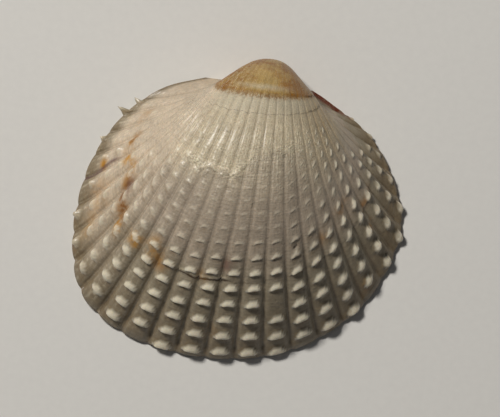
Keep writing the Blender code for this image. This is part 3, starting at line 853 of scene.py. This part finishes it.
class Shade:
    """An output of a node, with which a pattern is written as a plain sum."""

    def __init__(self, tree, socket=None):
        self.tree = tree
        self.socket = socket

    def node(self, kind, settings=None, values=None, output=0):
        """Add a node, its settings first, then what goes into its sockets."""
        node = self.tree.nodes.new(kind)
        for name, value in (settings or {}).items():
            setattr(node, name, value)
        for name, value in (values or {}).items():
            if isinstance(value, Shade):
                self.tree.links.new(value.socket, node.inputs[name])
            else:
                node.inputs[name].default_value = value
        return Shade(self.tree, node.outputs[output])

    def combine(self, operation, first, second=0.0):
        """Apply an operation to two values, or to vectors or colours where one of them is one."""
        pair = (first, second)
        if all(part.socket.type == "VALUE" if isinstance(part, Shade) else isinstance(part, (int, float))
               for part in pair):
            return self.node("ShaderNodeMath", {"operation": operation}, {0: first, 1: second})
        wide = [(part,) * 3 if isinstance(part, (int, float)) else part for part in pair]
        wide = [part[:3] if isinstance(part, tuple) else part for part in wide]
        return self.node("ShaderNodeVectorMath", {"operation": operation}, {0: wide[0], 1: wide[1]})

    def __add__(self, other):
        return self.combine("ADD", self, other)

    def __radd__(self, other):
        return self.combine("ADD", other, self)

    def __sub__(self, other):
        return self.combine("SUBTRACT", self, other)

    def __rsub__(self, other):
        return self.combine("SUBTRACT", other, self)

    def __mul__(self, other):
        return self.combine("MULTIPLY", self, other)

    def __rmul__(self, other):
        return self.combine("MULTIPLY", other, self)

    def __truediv__(self, other):
        return self.combine("DIVIDE", self, other)

    def __abs__(self):
        return self.combine("ABSOLUTE", self)

    def sine(self):
        """Return the sine of this."""
        return self.combine("SINE", self)

    def above(self, low, high):
        """Return a soft step from 0 at low to 1 at high."""
        return self.node("ShaderNodeMapRange", {"interpolation_type": "SMOOTHSTEP"},
                         {"Value": self, "From Min": low, "From Max": high})

    def near(self, middle, reach):
        """Return 1 at the middle, and 0 past the reach on both sides."""
        return 1.0 - abs(self - middle).above(0.0, reach)

    def blend(self, first, second):
        """Return the first colour where this is 0 and the second where it is 1."""
        return self.node("ShaderNodeMix", {"data_type": "RGBA", "clamp_factor": True},
                         {0: self, 6: first, 7: second}, 2)

    def parts(self):
        """Return the three parts of a vector."""
        split = self.node("ShaderNodeSeparateXYZ", None, {0: self})
        return [Shade(self.tree, socket) for socket in split.socket.node.outputs]

    def noise(self, scale, detail=2.0, roughness=0.5):
        """Return cloudy noise over this place, about 0.5 in the middle."""
        return self.node("ShaderNodeTexNoise", None,
                         {"Vector": self, "Scale": scale, "Detail": detail, "Roughness": roughness})


def new_material(name):
    """Return a new material, its surface node, and a start for its patterns."""
    material = bpy.data.materials.new(name)
    material.use_nodes = True
    tree = material.node_tree
    return material, tree.nodes["Principled BSDF"], Shade(tree)


def connect(surface, name, shade):
    """Lead a pattern into a socket of the surface."""
    shade.tree.links.new(shade.socket, surface.inputs[name])


class ShellPlaces:
    """What the patterns of the shell are drawn from."""

    def __init__(self, start):
        def values(name):
            return start.node("ShaderNodeAttribute", {"attribute_name": name}, None, 1).parts()

        self.share, self.turn, across = values("growth")
        self.cap, self.lee, self.inside = values("relief")
        self.golden, self.brown, self.purple = values("stain")
        self.off_crest = abs(across)
        self.place = start.node("ShaderNodeTexCoord", None, None, 3) / MM
        flat = start.node("ShaderNodeCombineXYZ", None, {0: self.share * 260.0, 1: self.turn * 12.0})
        self.threads = flat.noise(1.0, 2.0)
        flat = start.node("ShaderNodeCombineXYZ", None, {0: self.share * 30.0, 1: self.turn * 200.0})
        self.lines = flat.noise(1.0, 3.0, 0.6)
        flat = start.node("ShaderNodeCombineXYZ", None, {0: self.share * 170.0, 1: self.turn * 90.0})
        self.beads = flat.noise(1.0, 2.0, 0.6)
        flat = start.node("ShaderNodeCombineXYZ", None, {0: self.share * 120.0, 1: self.turn * 34.0})
        self.dashes = flat.noise(1.0, 2.0, 0.6)
        self.clouds = self.place.noise(0.7, 3.0)
        self.blots = self.place.noise(2.2, 3.0, 0.6)
        self.grain = self.place.noise(9.0, 3.0, 0.6)
        self.aged = self.turn + 0.16 * (self.clouds - 0.5) + 0.10 * (self.blots - 0.5)
        self.ragged = STOP_ARCH * (1.0 - 4.0 * self.off_crest * self.off_crest)
        for rate, begin, reach in (QUICK_WAVE, SLOW_WAVE):
            self.ragged = self.ragged + (self.share * rate + begin).sine() * reach
        climb = SECOND_STOP_CLIMB * self.share.above(CLIMB_FROM, CLIMB_TO)
        self.past_stop = self.turn - climb - SECOND_STOP - 2.0 * self.ragged


def zone_colours(at):
    """Return the colour of the shell from its margin to its beak, before its marks."""
    colour = at.aged.above(0.00, 0.30).blend(MARGIN_TONE, LOWER_TONE)
    colour = at.aged.above(0.28, 0.50).blend(colour, MIDDLE_TONE)
    middle = at.share.above(0.30, 0.40) * at.share.above(0.74, 0.62)
    wander = 0.16 * (at.blots - 0.5) + 0.08 * (at.beads - 0.5)
    sharp = 0.45 * (at.past_stop + wander).above(-0.03, 0.03) + 0.55 * at.aged.above(0.60, 1.00)
    upper = middle * sharp + (1.0 - middle) * at.aged.above(0.55, 0.95)
    colour = upper.blend(colour, UPPER_TONE)
    colour = at.aged.above(1.18, 1.34).blend(colour, BAND_TONE)
    rear = at.share.above(0.38, 0.22) * at.turn.above(0.02, 0.16)
    colour = rear.blend(colour, REAR_TONE)
    front = at.share.above(0.62, 0.82) * at.turn.above(0.6, 1.1)
    colour = colour * front.blend((1.0, 1.0, 1.0, 1.0), FRONT_TONE)
    umbo = (at.turn + 0.06 * (at.beads - 0.5)).above(1.40, 1.47)
    colour = umbo.blend(colour, UMBO_TONE)
    rims = at.share.above(0.44, 0.30) + at.share.above(0.54, 0.72) * 1.5 + at.turn.above(1.72, 2.0) * 0.5
    mottled = at.place.noise(1.3, 3.0, 0.65).above(0.44, 0.60)
    orange = umbo * (rims * (0.50 + 0.50 * mottled) + 0.45 * mottled)
    colour = orange.blend(colour, ORANGE_TONE)
    band = (at.turn + 0.05 * (at.beads - 0.5)).near(1.43, 0.060) * at.dashes.above(0.38, 0.58)
    colour = (band * 0.75).blend(colour, BAND_EDGE_TONE)
    pale = (at.turn + 0.06 * (at.blots - 0.5)).near(1.53, 0.06) * at.share.near(0.50, 0.22)
    return (pale * 0.6).blend(colour, BAND_TONE)


def growth_marks(at, colour):
    """Return the colour with its growth lines, threads, furrows and stops; the furrows are darkened
    partly as painted shade, the crest lines lightened partly as painted highlight, and the crack is
    painted shade.
    """
    shade = 1.0 + 0.40 * (at.lines - 0.5) + 0.30 * (at.threads - 0.5) + 0.60 * (at.beads - 0.5)
    shade = shade + 0.34 * (at.clouds - 0.5) + 0.44 * (at.blots - 0.5) + 0.40 * (at.grain - 0.5)
    young = at.turn.above(1.45, 1.20)
    # Darker furrows: partly their own mauve-grey tone, partly painted shade, strongest on young shell
    furrow = at.off_crest.above(0.38, 0.50) * (0.35 + 0.65 * at.blots.above(0.3, 0.7))
    worn = at.turn.near(0.75, 0.55) * at.share.above(0.30, 0.42)
    colour = (furrow * (0.08 + 0.34 * young) * (1.0 - 0.45 * worn)).blend(colour, FURROW_TONE_AND_SHADE)
    # Pale lines along rib crests and shoulders: partly fine threads, partly painted highlight, strongest
    # on the rear flank, upper disk and umbo
    crest_thread_and_highlight = (at.off_crest.near(0.12, 0.10) + at.off_crest.near(0.34, 0.08) * 0.6) * (1.0 - at.inside)
    bright = at.share.above(0.50, 0.30) * 0.35 + at.turn.near(1.02, 0.34) * 0.9
    lit = crest_thread_and_highlight * (bright + 0.3 * at.turn.above(1.4, 1.5))
    colour = (lit * at.dashes.above(0.44, 0.60) * 0.75).blend(colour, CREST_TONE)
    stop = at.turn - at.ragged + 0.008 * (at.beads - 0.5)
    for turn, reach, strength in STOP_LINES:
        line = stop.near(turn, reach) * at.beads.above(0.35, 0.60)
        colour = (line * strength).blend(colour, STOP_TONE)
    ledge = (at.past_stop + 0.10 * (at.blots - 0.5)).near(0.020, 0.050) * at.beads.above(0.42, 0.58)
    ledge_ends = 0.3 * at.share.above(0.68, 0.60) + 0.7 * at.share.above(0.52, 0.47)
    ledge = ledge * at.share.above(0.30, 0.36) * ledge_ends
    colour = (ledge * 0.60).blend(colour, CREST_TONE)
    # The crack: a dark line of painted shade, with a pale lip above it
    cracked = at.share.above(*CRACK_FROM) * at.share.above(CRACK_TO[1], CRACK_TO[0])
    colour = (cracked * stop.near(FIRST_STOP + 0.013, 0.009) * 0.6).blend(colour, LIP_TONE)
    colour = (cracked * stop.near(FIRST_STOP, CRACK_HALF_WIDTH) * 0.9).blend(colour, CRACK_SHADE_TONE)
    return colour * shade


def stained(at, colour):
    """Return the colour with golden, brown and purple stains, most of them below papillae; the brown just
    below each papilla is partly stain and partly painted shade.
    """
    patch = at.place.noise(0.9, 1.0).above(0.42, 0.58)
    flanks = at.share.above(0.44, 0.30) + at.share.above(0.58, 0.70)
    # Below each papilla: partly brown stain, partly painted shade under its steep face
    below = at.lee * (0.35 + 0.65 * patch) * (0.45 + 0.55 * flanks) * at.turn.above(0.80, 0.60)
    colour = (below * 0.60).blend(colour, LEE_STAIN_AND_SHADE_TONE)
    uneven = at.blots.above(0.34, 0.62) * (0.5 + at.beads)
    colour = (at.golden * (0.20 + uneven) * 0.95).blend(colour, GOLDEN_TONE)
    colour = (at.brown * (0.15 + uneven) * 0.75).blend(colour, BROWN_TONE)
    colour = (at.purple * (0.5 + at.threads) * 0.7).blend(colour, PURPLE_TONE)
    rust = at.share.above(0.930, 0.955) * at.turn.above(0.34, 0.10) * at.blots.above(0.30, 0.50)
    return rust.blend(colour, RUST_TONE)


def inside_colours(at):
    """Return the colour of the inside: porcelain cream, tan near the umbo, striped at the rim."""
    colour = at.turn.above(0.3, 1.9).blend(INSIDE_TONE, INSIDE_DEEP_TONE)
    stripes = at.off_crest * at.turn.above(0.45, 0.0) * 0.35
    colour = stripes.blend(colour, INSIDE_STRIPE_TONE)
    return colour * (1.0 + 0.10 * (at.clouds - 0.5) + 0.06 * (at.lines - 0.5))


def shell_material():
    """Return the material of the valve, outside and inside."""
    material, surface, start = new_material("shell")
    at = ShellPlaces(start)
    colour = stained(at, growth_marks(at, zone_colours(at)))
    white = at.cap * (0.86 + 0.14 * at.grain.above(0.3, 0.7)) * (0.55 + 0.45 * at.share.above(0.22, 0.40))
    white = white * (1.0 - 0.45 * at.share.above(0.78, 0.90))
    colour = (white * 0.88).blend(colour, CAP_TONE)
    connect(surface, "Base Color", at.inside.above(0.1, 0.9).blend(colour, inside_colours(at)))
    rough = 0.40 + 0.26 * (at.blots - 0.5) + 0.20 * (at.grain - 0.5) - 0.14 * at.cap
    rough = rough - 0.10 * at.turn.near(1.05, 0.3) - 0.12 * at.inside
    connect(surface, "Roughness", rough)
    outside = 1.0 - at.inside
    rough_part = (1.0 - 0.7 * at.cap) * (0.7 + 0.8 * at.turn.near(1.0, 0.35))
    height = outside * rough_part * (0.4 * at.threads + 0.4 * at.lines + 0.6 * at.beads + 0.3 * at.grain)
    height = height + 0.10 * at.blots
    bump = start.node("ShaderNodeBump", None, {"Strength": 0.8, "Distance": 0.06 * MM, "Height": height})
    connect(surface, "Normal", bump)
    surface.inputs["Coat Weight"].default_value = 0.24
    surface.inputs["Coat Roughness"].default_value = 0.22
    surface.inputs["Subsurface Weight"].default_value = 0.15
    surface.inputs["Subsurface Radius"].default_value = (1.0, 0.7, 0.45)
    surface.inputs["Subsurface Scale"].default_value = 0.3 * MM
    return material


def floor_material():
    """Return the pale, faintly uneven material of the studio floor."""
    material, surface, start = new_material("pale_floor")
    place = start.node("ShaderNodeTexCoord", None, None, 3) / MM
    clouds = place.noise(0.02, 2.0)
    grain = place.noise(3.0, 2.0)
    colour = (clouds * 0.5 + grain * 0.5).blend(FLOOR_TONE, FLOOR_LIGHT_TONE)
    connect(surface, "Base Color", colour)
    connect(surface, "Roughness", 0.72 + 0.16 * grain)
    return material


def add_camera():
    """Look straight down on the valve, as the photograph does."""
    data = bpy.data.cameras.new("camera")
    data.sensor_width = CAMERA_SENSOR
    data.lens = CAMERA_LENS
    camera = bpy.data.objects.new("camera", data)
    above = PHOTO_WIDTH * CAMERA_LENS / CAMERA_SENSOR
    x, y, _ = SPIRAL_CENTRE + LOOK_AT
    camera.location = (x * MM, y * MM, above * MM)
    camera.rotation_euler = (0.0, 0.0, CAMERA_ROLL)
    data.clip_start = 0.01
    data.clip_end = 5.0
    bpy.context.scene.collection.objects.link(camera)
    bpy.context.scene.camera = camera


def add_key_light():
    """Add a square light that looks at the valve from the upper left."""
    data = bpy.data.lights.new("key", "AREA")
    data.size = KEY_WIDTH
    data.energy = KEY_POWER
    data.color = KEY_COLOUR
    light = bpy.data.objects.new("key", data)
    toward = Vector(KEY_DIRECTION).normalized()
    light.location = toward * KEY_DISTANCE
    light.rotation_euler = (-toward).to_track_quat("-Z", "Y").to_euler()
    bpy.context.scene.collection.objects.link(light)


def add_stage():
    """Add the floor, the light and the grey sky."""
    mesh = bmesh.new()
    bmesh.ops.create_grid(mesh, x_segments=1, y_segments=1, size=FLOOR_REACH)
    floor = add_object("floor", mesh, floor_material())
    add_key_light()
    world = bpy.data.worlds.new("studio")
    world.use_nodes = True
    world.node_tree.nodes["Background"].inputs["Color"].default_value = SKY_COLOUR
    bpy.context.scene.world = world
    bpy.context.scene.view_settings.view_transform = "Standard"


valve = add_object("cockle_valve", grow_valve(), shell_material())
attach(valve, "root")
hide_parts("valve")
add_camera()
add_stage()
